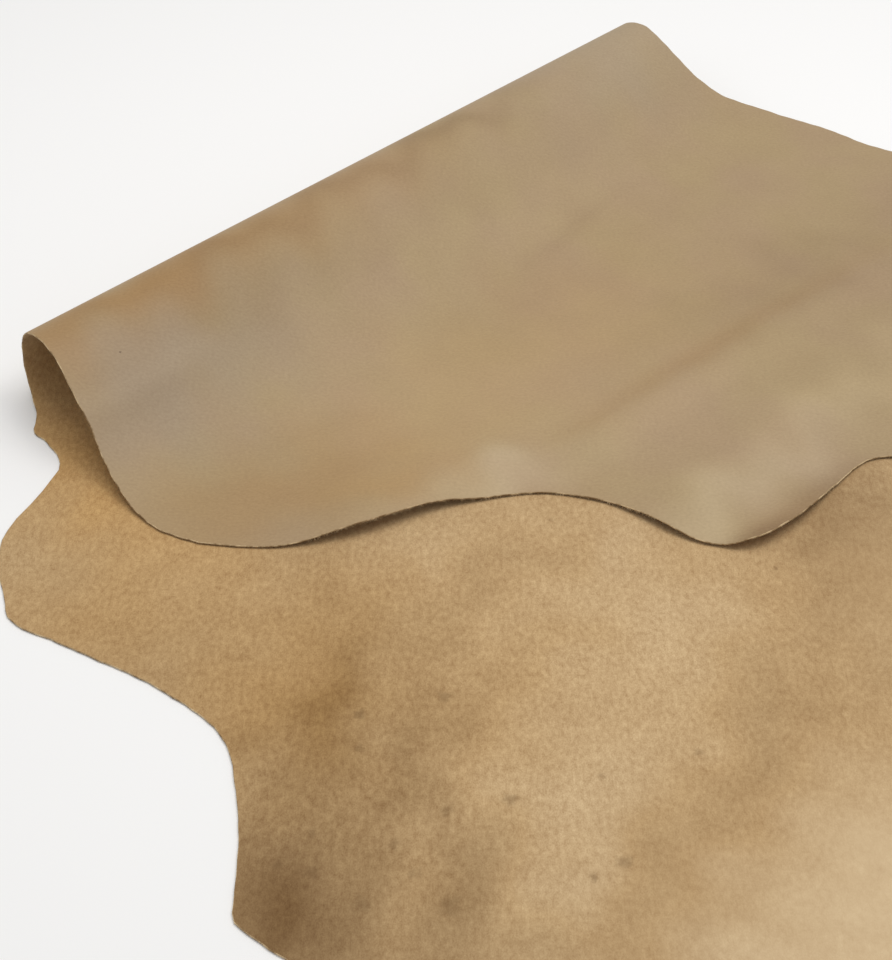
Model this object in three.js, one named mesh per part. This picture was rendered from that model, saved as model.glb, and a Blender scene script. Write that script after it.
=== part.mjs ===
// A natural lining hide, lying folded over once with its grain side out.
//
// The hide lies flesh side up on the floor. Its back part rises in one loose fold and comes forward as a flap,
// so the smooth grain side shows on the flap and the napped flesh side shows on the floor in front of it.
// Millimetres, +Z up, +X along the fold, +Y towards the back of the fold. The origin is on the floor, under the
// middle of the hide's own box.
//
// A place on the hide is given by two lengths measured on the leather itself: "along", the way along the fold,
// and "run", the way across it from the crown of the fold, plus on the flap and minus on the floor layer.

import * as THREE from 'three';

// Driving dimensions
const LEATHER = 1.2; // thickness of the hide
const LAYER_GAP = 0.8; // air between the floor layer and the flap that rests on it
const FOLD_HEIGHT = 65; // floor to the middle of the leather at the crown of the fold
const FLOOR_LEVEL = LEATHER / 2; // middle of the leather in the floor layer
const FLAP_LEVEL = LEATHER + LAYER_GAP + LEATHER / 2; // middle of the leather in the resting flap

// The fold's cross-section, from the floor layer's front, up round the back and over the crown to the flap.
// back: distance behind the crown; up: height of the middle of the leather; heading: which way the leather runs,
// in degrees from straight back, turning upwards.
const section = [
  { place: 'front of floor layer', back: -900, up: FLOOR_LEVEL, heading: 0 },
  { place: 'lift-off', back: -14, up: FLOOR_LEVEL, heading: 0 },
  { place: 'rising', back: 27, up: 11.6, heading: 43 },
  { place: 'rearmost', back: 37.3, up: 34.5, heading: 90 },
  { place: 'shoulder', back: 31, up: 51.2, heading: 127 },
  { place: 'crown', back: 0, up: FOLD_HEIGHT, heading: 180 },
  { place: 'brow', back: -30, up: 54.4, heading: 212 },
  { place: 'steepest', back: -58, up: 35, heading: 216 },
  { place: 'lower slope', back: -86, up: 17.5, heading: 209 },
  { place: 'foot of slope', back: -116, up: 6.2, heading: 195 },
  { place: 'landing', back: -150, up: FLAP_LEVEL, heading: 180 },
  { place: 'front of flap', back: -700, up: FLAP_LEVEL, heading: 180 },
];

// The cut edge at the near end of the fold, from the floor layer's front corner to the flap's front corner:
// a torn point beside a notch, a broad shank lobe, a bay and a second small corner.
const nearEdge = [
  { run: -619, along: -325 },
  { run: -590, along: -333 },
  { run: -565, along: -336 },
  { run: -544, along: -339 },
  { run: -526, along: -339 },
  { run: -518, along: -332 },
  { run: -507, along: -320 },
  { run: -483, along: -297 },
  { run: -460, along: -279 },
  { run: -442, along: -266 },
  { run: -427, along: -259 },
  { run: -407, along: -256 },
  { run: -383, along: -257 },
  { run: -355, along: -261 },
  { run: -322, along: -269 },
  { run: -288, along: -278 },
  { run: -267, along: -284 },
  { run: -253, along: -284 },
  { run: -238, along: -276 },
  { run: -221, along: -267 },
  { run: -209, along: -259 },
  { run: -191, along: -243 },
  { run: -181, along: -225 },
  { run: -174, along: -204 },
  { run: -165, along: -184 },
  { run: -160, along: -174 },
  { run: -154, along: -169 },
  { run: -147, along: -165 },
  { run: -137, along: -163 },
  { run: -125, along: -161 },
  { run: -114, along: -161 },
  { run: -106, along: -153 },
  { run: -97, along: -146 },
  { run: -88, along: -142 },
  { run: -78, along: -138 },
  { run: -61, along: -134 },
  { run: -44, along: -133 },
  { run: -20, along: -136 },
  { run: 0, along: -139 },
  { run: 20, along: -142 },
  { run: 51, along: -148 },
  { run: 80, along: -154 },
  { run: 95, along: -158 },
  { run: 112, along: -162 },
  { run: 135, along: -167 },
  { run: 158, along: -168.5 },
  { run: 176, along: -165.5 },
  { run: 195, along: -158.5 },
];

// The cut edge at the far end, from the floor layer's far corner to the flap's far corner.
const farEdge = [
  { run: -509, along: 510 },
  { run: -409, along: 545 },
  { run: -309, along: 552 },
  { run: -209, along: 545 },
  { run: -150, along: 540 },
  { run: -100, along: 536 },
  { run: -50, along: 531 },
  { run: -16, along: 526 },
  { run: 0, along: 524 },
  { run: 19, along: 521 },
  { run: 34, along: 522 },
  { run: 51, along: 524 },
  { run: 67, along: 527 },
  { run: 81, along: 532 },
  { run: 94, along: 538 },
  { run: 104, along: 546 },
  { run: 117, along: 556 },
  { run: 134, along: 566 },
  { run: 158, along: 575 },
  { run: 183, along: 579 },
  { run: 222, along: 580 },
  { run: 249, along: 585 },
  { run: 320, along: 590 },
];

// The floor layer's front edge, a plain belly curve from the near corner to the far one.
const floorFrontEdge = [
  { run: -619, along: -325 },
  { run: -679, along: -300 },
  { run: -739, along: -250 },
  { run: -799, along: -180 },
  { run: -839, along: -90 },
  { run: -844, along: 0 },
  { run: -814, along: 120 },
  { run: -754, along: 240 },
  { run: -674, along: 350 },
  { run: -594, along: 440 },
  { run: -509, along: 510 },
];

// The flap's front edge, from the near corner: a shallow sweep, a step forward, a nearly straight stretch, a
// second small step and a plain rounded lobe at the far corner.
const flapFrontEdge = [
  { run: 195, along: -158.5 },
  { run: 205, along: -151.5 },
  { run: 214, along: -145 },
  { run: 222.3, along: -138.2 },
  { run: 229.6, along: -131.7 },
  { run: 236.6, along: -124.4 },
  { run: 243.5, along: -115.4 },
  { run: 249.3, along: -106.3 },
  { run: 254.5, along: -96.9 },
  { run: 259.8, along: -88.3 },
  { run: 264.2, along: -79 },
  { run: 268.5, along: -69.4 },
  { run: 272.2, along: -59.3 },
  { run: 276.9, along: -45.3 },
  { run: 282, along: -31.6 },
  { run: 288.1, along: -18.8 },
  { run: 299.2, along: -1.3 },
  { run: 310.5, along: 16.2 },
  { run: 323.6, along: 31.8 },
  { run: 339.8, along: 43.8 },
  { run: 358.1, along: 53.2 },
  { run: 371.8, along: 57.4 },
  { run: 386.8, along: 59.6 },
  { run: 402.6, along: 60.7 },
  { run: 418, along: 62.3 },
  { run: 431.8, along: 65.8 },
  { run: 442.9, along: 71.8 },
  { run: 453.6, along: 79.3 },
  { run: 461.2, along: 90 },
  { run: 465, along: 107.1 },
  { run: 466.4, along: 127.3 },
  { run: 465, along: 153.9 },
  { run: 463.7, along: 179.8 },
  { run: 463, along: 204 },
  { run: 465.5, along: 213.5 },
  { run: 469.2, along: 220.5 },
  { run: 475, along: 226.3 },
  { run: 492, along: 245 },
  { run: 513, along: 296 },
  { run: 525, along: 370 },
  { run: 515, along: 440 },
  { run: 487, along: 505 },
  { run: 445, along: 550 },
  { run: 385, along: 578 },
  { run: 320, along: 590 },
];

// Soft ridges of the flap, each along a straight line on the leather. rise: height out of the grain side; behind
// and ahead: the half widths over which it falls away, towards the crown and towards the front edge; fadeIn and
// fadeOut: how softly each end dies away.
const waves = [
  {
    name: 'raised lip', from: { along: -108, run: 270 }, to: { along: 60, run: 273 },
    behind: 48, ahead: 21, rise: 8.4, fadeIn: 30, fadeOut: 70,
  },
  {
    name: 'broad rise', from: { along: 78, run: 318 }, to: { along: 480, run: 345 },
    behind: 90, ahead: 35, rise: 5, fadeIn: 50, fadeOut: 120,
  },
  {
    name: 'crease ridge', from: { along: 88, run: 309 }, to: { along: 435, run: 349 },
    behind: 7, ahead: 30, rise: 2.6, fadeIn: 25, fadeOut: 80,
  },
  {
    name: 'front roll', from: { along: 62, run: 403 }, to: { along: 470, run: 394 },
    behind: 30, ahead: 24, rise: 9, fadeIn: 40, fadeOut: 90,
  },
  {
    name: 'turned-up edge', from: { along: 72, run: 464 }, to: { along: 170, run: 494 },
    behind: 22, ahead: 30, rise: 8.5, fadeIn: 12, fadeOut: 45,
  },
  {
    name: 'far lip', from: { along: 225, run: 492 }, to: { along: 262, run: 506 },
    behind: 20, ahead: 30, rise: 5, fadeIn: 20, fadeOut: 30,
  },
  {
    name: 'slope crease', from: { along: 235, run: 150 }, to: { along: 385, run: 137 },
    behind: 9, ahead: 14, rise: 1.5, fadeIn: 40, fadeOut: 40,
  },
  {
    name: 'near crease', from: { along: -160, run: 66 }, to: { along: -40, run: 68 },
    behind: 10, ahead: 16, rise: 2.4, fadeIn: 5, fadeOut: 50,
  },
];

// Where the lines across the hide change from one part to the next, and how many each part has.
const FOLD_FROM = -130; // last run of the floor layer, just before lift-off
const FOLD_TO = 90; // first run of the flap, part of the way down its slope
const parts = {
  floor: { lines: 34, pieces: 12, edgePieces: 34 },
  fold: { lines: 25, pieces: 22 },
  flap: { lines: 28, pieces: 40, edgePieces: 80 },
};

// The section as one curve, with its crown found again as a length along it
const BEZIER_HANDLE = 1 / 3;

function sectionCurve() {
  const path = new THREE.CurvePath();
  let crownLength = 0;
  for (let i = 1; i < section.length; i += 1) {
    const [a, b] = [section[i - 1], section[i]];
    const chord = Math.hypot(b.back - a.back, b.up - a.up);
    const quarterTurn = THREE.MathUtils.degToRad(b.heading - a.heading) / 4;
    const handle = (BEZIER_HANDLE * chord) / Math.cos(quarterTurn) ** 2;
    const point = (row, reach) => {
      const heading = THREE.MathUtils.degToRad(row.heading);
      return new THREE.Vector2(row.back + reach * Math.cos(heading), row.up + reach * Math.sin(heading));
    };
    path.add(new THREE.CubicBezierCurve(point(a, 0), point(a, handle), point(b, -handle), point(b, 0)));
    if (b.place === 'crown') crownLength = path.getLength();
    path.updateArcLengths();
  }
  const length = path.getLength();
  return {
    at: (run) => path.getPointAt(THREE.MathUtils.clamp((run + crownLength) / length, 0, 1)),
  };
}

// A smooth curve through an edge's rows, as points close together
const EDGE_STEPS = 1600;

function edgePoints(rows) {
  const points = rows.map(({ along, run }) => new THREE.Vector3(along, run, 0));
  return new THREE.CatmullRomCurve3(points, false, 'centripetal').getSpacedPoints(EDGE_STEPS);
}

function alongAtRun(points, run) {
  let i = 1;
  while (i < points.length - 1 && points[i].y < run) i += 1;
  const [a, b] = [points[i - 1], points[i]];
  const t = THREE.MathUtils.clamp((run - a.y) / (b.y - a.y), 0, 1);
  return a.x + (b.x - a.x) * t;
}

function waveHeight(along, run) {
  let height = 0;
  for (const wave of waves) {
    const length = Math.hypot(wave.to.along - wave.from.along, wave.to.run - wave.from.run);
    const dirAlong = (wave.to.along - wave.from.along) / length;
    const dirRun = (wave.to.run - wave.from.run) / length;
    const down = (along - wave.from.along) * dirAlong + (run - wave.from.run) * dirRun;
    const beside = (run - wave.from.run) * dirAlong - (along - wave.from.along) * dirRun;
    const half = beside < 0 ? wave.behind : wave.ahead;
    const ends =
      THREE.MathUtils.smoothstep(down, -wave.fadeIn, wave.fadeIn) *
      THREE.MathUtils.smoothstep(length - down, -wave.fadeOut, wave.fadeOut);
    height += wave.rise * Math.exp(-((beside / half) ** 2)) * ends;
  }
  return height;
}

// The middle of the leather at a place on the hide, and the way out of its flesh side there
const NORMAL_STEP = 0.5;
const fold = sectionCurve();

function middle(along, run) {
  const here = fold.at(run);
  const ahead = fold.at(run + NORMAL_STEP);
  const behind = fold.at(run - NORMAL_STEP);
  const grainOut = new THREE.Vector2(ahead.y - behind.y, behind.x - ahead.x).normalize();
  const height = waveHeight(along, run);
  return new THREE.Vector3(along, here.x + grainOut.x * height, here.y + grainOut.y * height);
}

function fleshOut(along, run) {
  const sideways = middle(along + NORMAL_STEP, run).sub(middle(along - NORMAL_STEP, run));
  const onwards = middle(along, run + NORMAL_STEP).sub(middle(along, run - NORMAL_STEP));
  return sideways.cross(onwards).normalize();
}

// Lines across the hide from its near edge to its far edge, as places on the leather. Those of the fold are
// parallel to it, and those of the floor layer and the flap turn little by little into the front edges.
function crossLines() {
  const near = edgePoints(nearEdge);
  const far = edgePoints(farEdge);
  const line = (runNear, runFar, front, share, pieces) => {
    const from = new THREE.Vector2(alongAtRun(near, runNear), runNear);
    const to = new THREE.Vector2(alongAtRun(far, runFar), runFar);
    const places = [];
    for (let i = 0; i <= pieces; i += 1) {
      const t = i / pieces;
      const place = from.clone().lerp(to, t);
      if (share > 0) {
        const edge = front[Math.round(t * (front.length - 1))];
        const chord = front[0].clone().lerp(front[front.length - 1], t);
        place.x += share * (edge.x - chord.x);
        place.y += share * (edge.y - chord.y);
      }
      places.push(place);
    }
    return places;
  };
  const blend = (a, b, t) => a + (b - a) * t;
  const lines = [];
  const floorFront = edgePoints(floorFrontEdge);
  for (let i = parts.floor.lines; i > 0; i -= 1) {
    const share = i / parts.floor.lines;
    const pieces = i === parts.floor.lines ? parts.floor.edgePieces : parts.floor.pieces;
    const runNear = blend(FOLD_FROM, nearEdge[0].run, share);
    const runFar = blend(FOLD_FROM, farEdge[0].run, share);
    lines.push(line(runNear, runFar, floorFront, share, pieces));
  }
  for (let i = 0; i < parts.fold.lines; i += 1) {
    const run = blend(FOLD_FROM, FOLD_TO, i / parts.fold.lines);
    lines.push(line(run, run, floorFront, 0, parts.fold.pieces));
  }
  const flapFront = edgePoints(flapFrontEdge);
  for (let i = 0; i <= parts.flap.lines; i += 1) {
    const share = i / parts.flap.lines;
    const pieces = i === parts.flap.lines ? parts.flap.edgePieces : parts.flap.pieces;
    const runNear = blend(FOLD_TO, nearEdge[nearEdge.length - 1].run, share);
    const runFar = blend(FOLD_TO, farEdge[farEdge.length - 1].run, share);
    lines.push(line(runNear, runFar, flapFront, share, pieces));
  }
  return lines;
}

// One closed solid of leather: a flesh face and a grain face, half a thickness to each side of the middle,
// joined all round by the cut edge
function hideGeometry() {
  const positions = [];
  const triangles = [];
  const lines = crossLines().map((places) =>
    places.map((place) => {
      const centre = middle(place.x, place.y);
      const out = fleshOut(place.x, place.y);
      const flesh = centre.clone().addScaledVector(out, LEATHER / 2);
      const grain = centre.clone().addScaledVector(out, -LEATHER / 2);
      positions.push(...flesh.toArray(), ...grain.toArray());
      const first = positions.length / 3 - 2;
      return { place, flesh: first, grain: first + 1 };
    }),
  );
  const face = (a, b, c) => {
    triangles.push(a.flesh, b.flesh, c.flesh);
    triangles.push(a.grain, c.grain, b.grain);
  };
  const edge = (a, b) => {
    triangles.push(a.flesh, b.flesh, a.grain);
    triangles.push(b.flesh, b.grain, a.grain);
  };
  for (let k = 1; k < lines.length; k += 1) {
    const [behind, ahead] = [lines[k - 1], lines[k]];
    let i = 0;
    let j = 0;
    while (i < behind.length - 1 || j < ahead.length - 1) {
      const canStepBehind = i < behind.length - 1;
      const canStepAhead = j < ahead.length - 1;
      const overBehind = canStepBehind ? behind[i + 1].place.distanceTo(ahead[j].place) : Infinity;
      const overAhead = canStepAhead ? ahead[j + 1].place.distanceTo(behind[i].place) : Infinity;
      if (overBehind <= overAhead) {
        face(behind[i], behind[i + 1], ahead[j]);
        i += 1;
      } else {
        face(behind[i], ahead[j + 1], ahead[j]);
        j += 1;
      }
    }
    edge(behind[0], ahead[0]);
    edge(ahead[ahead.length - 1], behind[behind.length - 1]);
  }
  const floorFront = lines[0];
  for (let i = 1; i < floorFront.length; i += 1) edge(floorFront[i], floorFront[i - 1]);
  const flapFront = lines[lines.length - 1];
  for (let i = 1; i < flapFront.length; i += 1) edge(flapFront[i - 1], flapFront[i]);

  const geometry = new THREE.BufferGeometry();
  geometry.setAttribute('position', new THREE.Float32BufferAttribute(positions, 3));
  geometry.setIndex(triangles);
  geometry.computeBoundingBox();
  const box = geometry.boundingBox;
  const centre = box.getCenter(new THREE.Vector3());
  geometry.translate(-centre.x, -centre.y, -box.min.z);
  geometry.computeVertexNormals();
  return geometry;
}

const leather = new THREE.MeshStandardMaterial({ color: 0xa88f70, roughness: 0.62, metalness: 0 });
const hide = new THREE.Mesh(hideGeometry(), leather);
hide.name = 'lining_hide';

const group = new THREE.Group();
group.add(hide);

export default group;
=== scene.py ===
"""Dresses a natural lining hide that lies folded over once, its flap grain side up on its floor layer.

A place on the hide is given by two lengths measured on the leather itself, in millimetres: along, the way
along the fold, and run, the way across it from the crown of the fold, plus on the flap and minus on the
floor layer.
"""

import logging
import math
from dataclasses import dataclass, field
from enum import Enum, IntEnum
from typing import ClassVar

import bpy
import numpy as np
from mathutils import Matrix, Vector


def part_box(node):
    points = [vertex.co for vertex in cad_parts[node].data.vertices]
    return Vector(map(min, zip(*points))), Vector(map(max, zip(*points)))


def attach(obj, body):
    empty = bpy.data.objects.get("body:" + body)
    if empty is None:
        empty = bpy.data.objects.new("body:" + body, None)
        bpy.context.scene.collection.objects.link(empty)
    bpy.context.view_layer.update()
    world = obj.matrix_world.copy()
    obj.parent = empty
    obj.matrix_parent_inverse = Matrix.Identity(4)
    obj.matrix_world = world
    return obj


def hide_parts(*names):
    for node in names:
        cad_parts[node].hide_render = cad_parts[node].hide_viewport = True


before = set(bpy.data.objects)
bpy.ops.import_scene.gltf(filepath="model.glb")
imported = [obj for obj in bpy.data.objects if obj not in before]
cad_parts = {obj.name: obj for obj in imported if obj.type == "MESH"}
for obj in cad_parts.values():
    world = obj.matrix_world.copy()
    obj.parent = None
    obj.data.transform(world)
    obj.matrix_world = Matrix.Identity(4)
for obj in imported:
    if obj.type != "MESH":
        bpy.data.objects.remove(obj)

log = logging.getLogger("lining_hide")

HIDE_NODE = "lining_hide"
ROOT_BODY = "root"
LEATHER_MAP = "leather"
MM = 0.001

# A place on the leather is (along, run), and a row of the outline is (run, along).
Place = tuple[float, float]
Row = tuple[float, float]
Colour = tuple[float, float, float]
Socket = bpy.types.NodeSocket
Tree = bpy.types.NodeTree

FLOAT = "NodeSocketFloat"
VECTOR = "NodeSocketVector"


class Face(IntEnum):
    """The material slots of the hide."""

    FLESH = 0
    GRAIN = 1
    CUT = 2


class Part(Enum):
    """The three parts of the hide, from its floor front to its flap front."""

    FLOOR = "floor layer"
    FOLD = "fold"
    FLAP = "flap"


class Edge(Enum):
    """The four stretches of the cut edge."""

    NEAR = "near edge"
    FAR = "far edge"
    FLOOR_FRONT = "floor layer's front"
    FLAP_FRONT = "flap's front"


@dataclass(frozen=True)
class SectionPoint:
    """A point of the fold's cross-section; heading is in degrees from straight back, turning upwards."""

    place: str
    back: float
    up: float
    heading: float


@dataclass(frozen=True)
class Wave:
    """A soft ridge along a straight line on the leather, with its half width to each side of the line."""

    name: str
    start: Place
    end: Place
    behind: float
    ahead: float
    rise: float
    fade_in: float
    fade_out: float


@dataclass(frozen=True)
class Patch:
    """A soft-edged oval on the leather that lightens or darkens it, for its own tone and for painted shade
    and highlights; turn is in degrees from the fold.
    """

    name: str
    along: float
    run: float
    length: float
    width: float
    turn: float
    tone: float


@dataclass(frozen=True)
class Speck:
    """A small dark mark in the leather."""

    along: float
    run: float
    radius: float
    depth: float


@dataclass(frozen=True)
class Cloud:
    """Soft cloudy unevenness in a colour or a surface. Size is in metres."""

    size: float
    detail: float
    contrast: float


@dataclass(frozen=True)
class Fuzz:
    """A stretch of the cut edge with loose fibres; start and end are shares of the edge's length."""

    edge: Edge
    start: float
    end: float
    pitch: float
    longest: float
    thick: float = 0.16
    droop: float = 0.0


def colour(red: int, green: int, blue: int) -> Colour:
    """Turns a display colour of 0 to 255 into a linear one.

    Args:
        red: red, 0 to 255.
        green: green, 0 to 255.
        blue: blue, 0 to 255.

    Returns:
        The linear colour.
    """
    channels = (red / 255, green / 255, blue / 255)
    return tuple(c / 12.92 if c <= 0.04045 else ((c + 0.055) / 1.055) ** 2.4 for c in channels)


def smooth_step(low: float, high: float, value: np.ndarray) -> np.ndarray:
    """Rises softly from 0 at low to 1 at high.

    Args:
        low: the value where the rise starts.
        high: the value where it ends.
        value: the values to grade.

    Returns:
        The graded values, 0 to 1.
    """
    t = np.clip((value - low) / (high - low), 0.0, 1.0)
    return t * t * (3.0 - 2.0 * t)


def unit(vectors: np.ndarray) -> np.ndarray:
    """Gives vectors a length of 1."""
    return vectors / np.linalg.norm(vectors, axis=-1, keepdims=True)


def lengths_along(points: np.ndarray) -> np.ndarray:
    """Gives how far along a line of points each one is, from 0."""
    gaps = np.hypot(*np.diff(points, axis=0).T)
    return np.concatenate([[0.0], np.cumsum(gaps)])


def put(name: str, data: bpy.types.ID) -> bpy.types.Object:
    """Puts a mesh, a light or a camera into the scene.

    Args:
        name: the piece's name.
        data: its mesh, light or camera.

    Returns:
        The piece.
    """
    piece = bpy.data.objects.new(name, data)
    bpy.context.scene.collection.objects.link(piece)
    return piece


@dataclass
class FoldSection:
    """The fold's cross-section, from the floor layer's front up round the back and over the crown."""

    floor_level: float
    flap_level: float
    crown_height: float = 65.0
    steps: int = 160
    points: np.ndarray = field(init=False)
    lengths: np.ndarray = field(init=False)

    def __post_init__(self) -> None:
        """Joins the section's points with smooth curves and measures along them."""
        rows = self.rows()
        stretches = []
        crown = 0
        for a, b in zip(rows[:-1], rows[1:]):
            stretch = self.stretch(a, b)
            stretches.append(stretch if not stretches else stretch[1:])
            if b.place == "crown":
                crown = sum(len(s) for s in stretches) - 1
        self.points = np.concatenate(stretches)
        self.lengths = lengths_along(self.points)
        self.lengths -= self.lengths[crown]

    def rows(self) -> list[SectionPoint]:
        """Lists the section's points.

        Returns:
            The points, from the front of the floor layer to the front of the flap.
        """
        return [
            SectionPoint("front of floor layer", -900, self.floor_level, 0),
            SectionPoint("lift-off", -14, self.floor_level, 0),
            SectionPoint("rising", 27, 11.6, 43),
            SectionPoint("rearmost", 37.3, 34.5, 90),
            SectionPoint("shoulder", 31, 51.2, 127),
            SectionPoint("crown", 0, self.crown_height, 180),
            SectionPoint("brow", -30, 54.4, 212),
            SectionPoint("steepest", -58, 35, 216),
            SectionPoint("lower slope", -86, 17.5, 209),
            SectionPoint("foot of slope", -116, 6.2, 195),
            SectionPoint("landing", -150, self.flap_level, 180),
            SectionPoint("front of flap", -700, self.flap_level, 180),
        ]

    def stretch(self, a: SectionPoint, b: SectionPoint) -> np.ndarray:
        """Draws the smooth curve between two section points.

        Args:
            a: the point where the curve starts.
            b: the point where it ends.

        Returns:
            Points (back, up) along the curve.
        """
        chord = math.hypot(b.back - a.back, b.up - a.up)
        reach = chord / 3 / math.cos(math.radians(b.heading - a.heading) / 4) ** 2
        way_a = np.array([math.cos(math.radians(a.heading)), math.sin(math.radians(a.heading))])
        way_b = np.array([math.cos(math.radians(b.heading)), math.sin(math.radians(b.heading))])
        p0 = np.array([a.back, a.up])
        p3 = np.array([b.back, b.up])
        p1 = p0 + reach * way_a
        p2 = p3 - reach * way_b
        t = np.linspace(0.0, 1.0, self.steps)[:, None]
        return (1 - t) ** 3 * p0 + 3 * (1 - t) ** 2 * t * p1 + 3 * (1 - t) * t**2 * p2 + t**3 * p3

    def at(self, run: np.ndarray) -> tuple[np.ndarray, np.ndarray]:
        """Gives the place of the middle of the leather.

        Args:
            run: lengths over the fold from its crown.

        Returns:
            How far back and how high each one is.
        """
        back = np.interp(run, self.lengths, self.points[:, 0])
        up = np.interp(run, self.lengths, self.points[:, 1])
        return back, up


@dataclass
class CutLine:
    """One stretch of the hide's outline, a smooth curve through points (run, along) on the leather."""

    rows: list[Row]
    steps: int = 40
    places: np.ndarray = field(init=False)
    shares: np.ndarray = field(init=False)
    length: float = field(init=False)

    def __post_init__(self) -> None:
        """Draws the curve as close points (along, run) and measures along it."""
        given = np.array([(along, run) for run, along in self.rows], dtype=float)
        ends = np.vstack([2 * given[0] - given[1], given, 2 * given[-1] - given[-2]])
        drawn = [self.stretch(ends[i - 1 : i + 3]) for i in range(1, len(ends) - 2)]
        self.places = np.concatenate([*drawn, given[-1:]])
        lengths = lengths_along(self.places)
        self.length = lengths[-1]
        self.shares = lengths / self.length

    def stretch(self, four: np.ndarray) -> np.ndarray:
        """Draws the curve between the middle two of four points.

        Args:
            four: four points in a row.

        Returns:
            Points from the second one up to the third, without the third.
        """
        knots = [0.0]
        for a, b in zip(four[:-1], four[1:]):
            knots.append(knots[-1] + math.sqrt(math.hypot(*(b - a))))
        t = np.linspace(knots[1], knots[2], self.steps, endpoint=False)[:, None]

        def blend(p: np.ndarray, q: np.ndarray, i: int, j: int) -> np.ndarray:
            """Blends p into q as t goes from knot i to knot j."""
            return (knots[j] - t) / (knots[j] - knots[i]) * p + (t - knots[i]) / (knots[j] - knots[i]) * q

        first = [blend(four[i], four[i + 1], i, i + 1) for i in range(3)]
        second = [blend(first[i], first[i + 1], i, i + 2) for i in range(2)]
        return blend(second[0], second[1], 1, 2)

    def at(self, share: np.ndarray) -> np.ndarray:
        """Finds places on the curve.

        Args:
            share: shares of the curve's length, 0 to 1.

        Returns:
            The places (along, run) there.
        """
        along = np.interp(share, self.shares, self.places[:, 0])
        run = np.interp(share, self.shares, self.places[:, 1])
        return np.stack([along, run], axis=-1)

    def along_at(self, run: np.ndarray) -> np.ndarray:
        """Gives how far along the curve is at each run."""
        return np.interp(run, self.places[:, 1], self.places[:, 0])


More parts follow.
